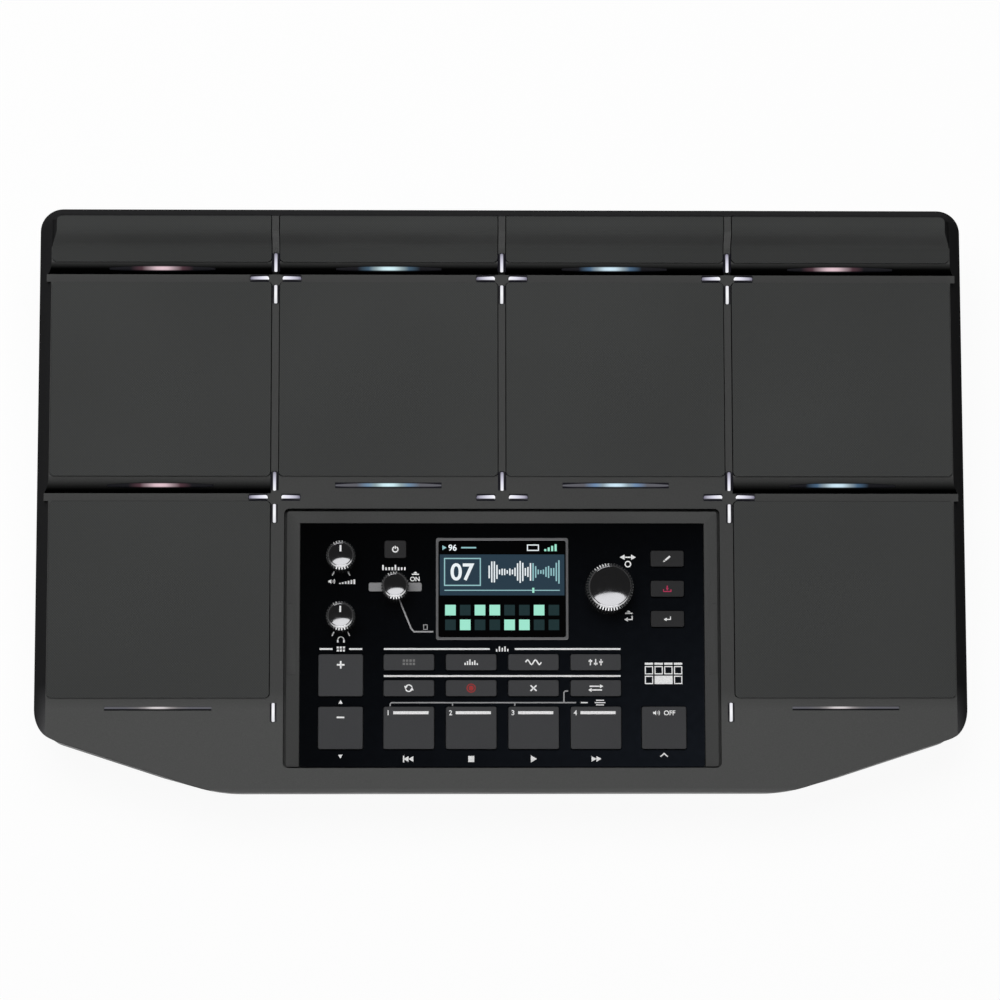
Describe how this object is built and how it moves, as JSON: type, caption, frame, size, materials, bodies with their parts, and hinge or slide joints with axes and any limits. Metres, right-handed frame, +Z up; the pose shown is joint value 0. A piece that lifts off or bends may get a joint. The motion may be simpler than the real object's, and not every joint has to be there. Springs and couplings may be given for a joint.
{
  "type": "sampling drum pad",
  "caption": "Table-top percussion pad: leaning housing with rubber strike pads, raised bars along the back, light lines, and a recessed panel with keys, knobs and a screen.",
  "frame": {"origin": "on the table, under the middle of the housing's box", "axes": "+X to the player's right, +Y to the back, +Z up; the deck leans towards -Y"},
  "size_m": [0.406, 0.2576, 0.0613],
  "materials": {
    "case_plastic": "fine moulded texture",
    "pad_rubber": "fine cross-hatched grip",
    "panel_gloss": "polished",
    "screen_trim": "satin",
    "screen_glass": "lit display behind clear cover",
    "display_case": "plain",
    "beat_window": "frosted",
    "light_lens": "frosted, lit white",
    "strip_lens": "frosted, lit in the middle",
    "circuit_board": "solder mask",
    "sensor_film": "film",
    "connector_plastic": "plain",
    "plated_steel": "zinc plated",
    "foot_rubber": "matt",
    "insert_brass": "turned",
    "key_plastic": "satin",
    "knob_plastic": "fluted, with a polished cap",
    "shaft_metal": "turned"
  },
  "bodies": {
    "housing": {"top_case": "case_plastic", "bottom_case": "case_plastic", "panel_bezel": "case_plastic", "control_panel": "panel_gloss", "screen_frame": "screen_trim", "screen_glass": "screen_glass", "display_module": "display_case", "beat_lens": "beat_window", "bar_pads": "pad_rubber", "drum_pad_1": "pad_rubber", "drum_pad_2": "pad_rubber", "drum_pad_3": "pad_rubber", "drum_pad_4": "pad_rubber", "drum_pad_5": "pad_rubber", "drum_pad_6": "pad_rubber", "pad_sensors": "sensor_film", "cross_lenses": "light_lens", "strip_lenses": "strip_lens", "light_boards": "circuit_board", "panel_board": "circuit_board", "main_board": "circuit_board", "key_switches": "connector_plastic", "volume_pots": "plated_steel", "encoder_bodies": "plated_steel", "output_jacks": "connector_plastic", "midi_sockets": "connector_plastic", "usb_socket": "plated_steel", "dc_inlet": "connector_plastic", "rubber_feet": "foot_rubber", "case_screws": "plated_steel", "stand_inserts": "insert_brass"},
    "power_key": {"power_key": "key_plastic"},
    "kit_up_key": {"kit_up_key": "key_plastic"},
    "kit_down_key": {"kit_down_key": "key_plastic"},
    "mute_key": {"mute_key": "key_plastic"},
    "mode_key_1": {"mode_key_1": "key_plastic"},
    "mode_key_2": {"mode_key_2": "key_plastic"},
    "mode_key_3": {"mode_key_3": "key_plastic"},
    "mode_key_4": {"mode_key_4": "key_plastic"},
    "edit_key_1": {"edit_key_1": "key_plastic"},
    "edit_key_2": {"edit_key_2": "key_plastic"},
    "edit_key_3": {"edit_key_3": "key_plastic"},
    "edit_key_4": {"edit_key_4": "key_plastic"},
    "track_key_1": {"track_key_1": "key_plastic"},
    "track_key_2": {"track_key_2": "key_plastic"},
    "track_key_3": {"track_key_3": "key_plastic"},
    "track_key_4": {"track_key_4": "key_plastic"},
    "menu_key_1": {"menu_key_1": "key_plastic"},
    "menu_key_2": {"menu_key_2": "key_plastic"},
    "menu_key_3": {"menu_key_3": "key_plastic"},
    "main_volume": {"main_volume_knob": "knob_plastic", "main_volume_shaft": "shaft_metal"},
    "phones": {"phones_knob": "knob_plastic", "phones_shaft": "shaft_metal"},
    "beat_push": {"beat_plunger": "shaft_metal"},
    "beat": {"beat_knob": "knob_plastic", "beat_shaft": "shaft_metal"},
    "value_push": {"value_plunger": "shaft_metal"},
    "value": {"value_knob": "knob_plastic", "value_shaft": "shaft_metal"}
  },
  "joints": [
    {"name": "power_key_press", "type": "slide", "parent": "housing", "child": "power_key", "axis": [0, 0.0872, -0.9962], "range_m": [0, 0.0005], "stiffness_N_per_m": 1000, "springref_m": -0.0003},
    {"name": "kit_up_key_press", "type": "slide", "parent": "housing", "child": "kit_up_key", "axis": [0, 0.0872, -0.9962], "range_m": [0, 0.0005], "stiffness_N_per_m": 1000, "springref_m": -0.0003},
    {"name": "kit_down_key_press", "type": "slide", "parent": "housing", "child": "kit_down_key", "axis": [0, 0.0872, -0.9962], "range_m": [0, 0.0005], "stiffness_N_per_m": 1000, "springref_m": -0.0003},
    {"name": "mute_key_press", "type": "slide", "parent": "housing", "child": "mute_key", "axis": [0, 0.0872, -0.9962], "range_m": [0, 0.0005], "stiffness_N_per_m": 1000, "springref_m": -0.0003},
    {"name": "mode_key_1_press", "type": "slide", "parent": "housing", "child": "mode_key_1", "axis": [0, 0.0872, -0.9962], "range_m": [0, 0.0005], "stiffness_N_per_m": 1000, "springref_m": -0.0003},
    {"name": "mode_key_2_press", "type": "slide", "parent": "housing", "child": "mode_key_2", "axis": [0, 0.0872, -0.9962], "range_m": [0, 0.0005], "stiffness_N_per_m": 1000, "springref_m": -0.0003},
    {"name": "mode_key_3_press", "type": "slide", "parent": "housing", "child": "mode_key_3", "axis": [0, 0.0872, -0.9962], "range_m": [0, 0.0005], "stiffness_N_per_m": 1000, "springref_m": -0.0003},
    {"name": "mode_key_4_press", "type": "slide", "parent": "housing", "child": "mode_key_4", "axis": [0, 0.0872, -0.9962], "range_m": [0, 0.0005], "stiffness_N_per_m": 1000, "springref_m": -0.0003},
    {"name": "edit_key_1_press", "type": "slide", "parent": "housing", "child": "edit_key_1", "axis": [0, 0.0872, -0.9962], "range_m": [0, 0.0005], "stiffness_N_per_m": 1000, "springref_m": -0.0003},
    {"name": "edit_key_2_press", "type": "slide", "parent": "housing", "child": "edit_key_2", "axis": [0, 0.0872, -0.9962], "range_m": [0, 0.0005], "stiffness_N_per_m": 1000, "springref_m": -0.0003},
    {"name": "edit_key_3_press", "type": "slide", "parent": "housing", "child": "edit_key_3", "axis": [0, 0.0872, -0.9962], "range_m": [0, 0.0005], "stiffness_N_per_m": 1000, "springref_m": -0.0003},
    {"name": "edit_key_4_press", "type": "slide", "parent": "housing", "child": "edit_key_4", "axis": [0, 0.0872, -0.9962], "range_m": [0, 0.0005], "stiffness_N_per_m": 1000, "springref_m": -0.0003},
    {"name": "track_key_1_press", "type": "slide", "parent": "housing", "child": "track_key_1", "axis": [0, 0.0872, -0.9962], "range_m": [0, 0.0005], "stiffness_N_per_m": 1000, "springref_m": -0.0003},
    {"name": "track_key_2_press", "type": "slide", "parent": "housing", "child": "track_key_2", "axis": [0, 0.0872, -0.9962], "range_m": [0, 0.0005], "stiffness_N_per_m": 1000, "springref_m": -0.0003},
    {"name": "track_key_3_press", "type": "slide", "parent": "housing", "child": "track_key_3", "axis": [0, 0.0872, -0.9962], "range_m": [0, 0.0005], "stiffness_N_per_m": 1000, "springref_m": -0.0003},
    {"name": "track_key_4_press", "type": "slide", "parent": "housing", "child": "track_key_4", "axis": [0, 0.0872, -0.9962], "range_m": [0, 0.0005], "stiffness_N_per_m": 1000, "springref_m": -0.0003},
    {"name": "menu_key_1_press", "type": "slide", "parent": "housing", "child": "menu_key_1", "axis": [0, 0.0872, -0.9962], "range_m": [0, 0.0005], "stiffness_N_per_m": 1000, "springref_m": -0.0003},
    {"name": "menu_key_2_press", "type": "slide", "parent": "housing", "child": "menu_key_2", "axis": [0, 0.0872, -0.9962], "range_m": [0, 0.0005], "stiffness_N_per_m": 1000, "springref_m": -0.0003},
    {"name": "menu_key_3_press", "type": "slide", "parent": "housing", "child": "menu_key_3", "axis": [0, 0.0872, -0.9962], "range_m": [0, 0.0005], "stiffness_N_per_m": 1000, "springref_m": -0.0003},
    {"name": "main_volume_turn", "type": "hinge", "parent": "housing", "child": "main_volume", "pos_m": [-0.06975, -0.02702, 0.0409], "axis": [0, -0.0872, 0.9962], "range_deg": [-150, 150]},
    {"name": "phones_turn", "type": "hinge", "parent": "housing", "child": "phones", "pos_m": [-0.06975, -0.05312, 0.03862], "axis": [0, -0.0872, 0.9962], "range_deg": [-150, 150]},
    {"name": "beat_press", "type": "slide", "parent": "housing", "child": "beat_push", "axis": [0, 0.0872, -0.9962], "range_m": [0, 0.0005], "stiffness_N_per_m": 1500, "springref_m": -0.0004},
    {"name": "beat_turn", "type": "hinge", "parent": "beat_push", "child": "beat", "pos_m": [-0.0463, -0.04007, 0.03976], "axis": [0, -0.0872, 0.9962], "continuous": true},
    {"name": "value_press", "type": "slide", "parent": "housing", "child": "value_push", "axis": [0, 0.0872, -0.9962], "range_m": [0, 0.0005], "stiffness_N_per_m": 1500, "springref_m": -0.0004},
    {"name": "value_turn", "type": "hinge", "parent": "value_push", "child": "value", "pos_m": [0.0463, -0.04087, 0.03969], "axis": [0, -0.0872, 0.9962], "continuous": true}
  ]
}
